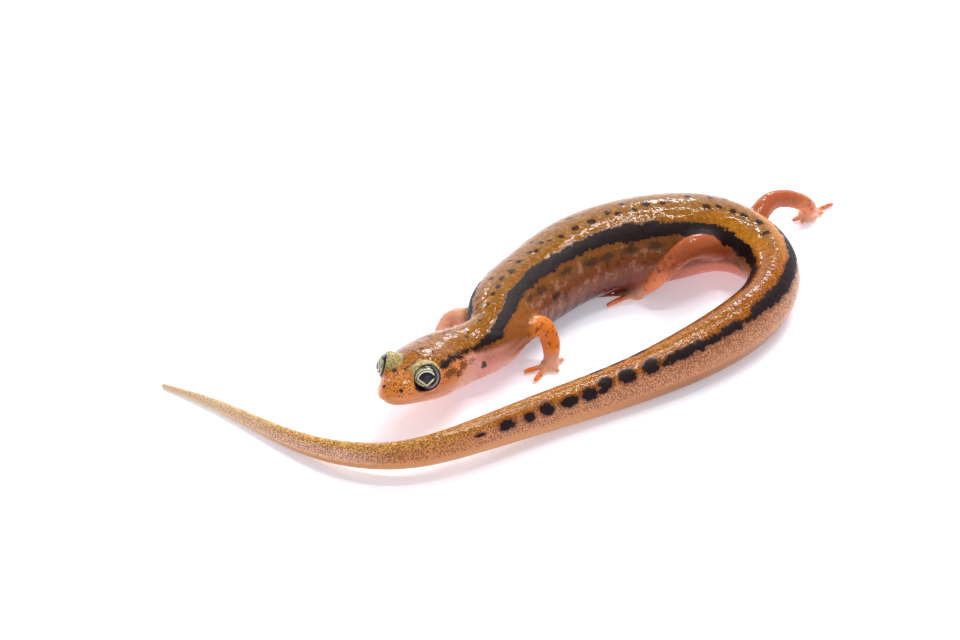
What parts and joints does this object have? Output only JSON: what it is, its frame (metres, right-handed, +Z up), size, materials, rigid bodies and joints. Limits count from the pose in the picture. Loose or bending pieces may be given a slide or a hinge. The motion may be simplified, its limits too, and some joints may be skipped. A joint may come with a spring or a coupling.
{
  "type": "blue ridge two-lined salamander",
  "caption": "Life-size still model of a small striped salamander at rest, its trunk arched and its long tail curled forward past the head.",
  "frame": {"origin": "on the floor, under the middle of the animal's outline seen from above", "axes": "+Z up from the floor, +X along the animal's longest reach with the tail's tip towards -X and the hips towards +X, +Y away from the flank that carries the left legs"},
  "size_m": [0.0552, 0.0388, 0.0072],
  "materials": {
    "skin_head": "moist skin",
    "skin_trunk": "moist skin",
    "skin_tail": "moist skin",
    "skin_limb": "moist skin",
    "eye": "clear wet gloss"
  },
  "bodies": {
    "root": {"head": "skin_head", "eye_left": "eye", "eye_right": "eye", "neck": "skin_trunk", "torso_front": "skin_trunk", "torso_middle": "skin_trunk", "torso_rear": "skin_trunk", "tail_base": "skin_tail", "tail_middle": "skin_tail", "tail_rear": "skin_tail", "tail_tip": "skin_tail", "arm_left_upper": "skin_limb", "arm_left_lower": "skin_limb", "hand_left": "skin_limb", "arm_right_upper": "skin_limb", "arm_right_lower": "skin_limb", "hand_right": "skin_limb", "leg_left_thigh": "skin_limb", "leg_left_shank": "skin_limb", "foot_left": "skin_limb", "leg_right_thigh": "skin_limb", "leg_right_shank": "skin_limb", "foot_right": "skin_limb"}
  },
  "joints": []
}
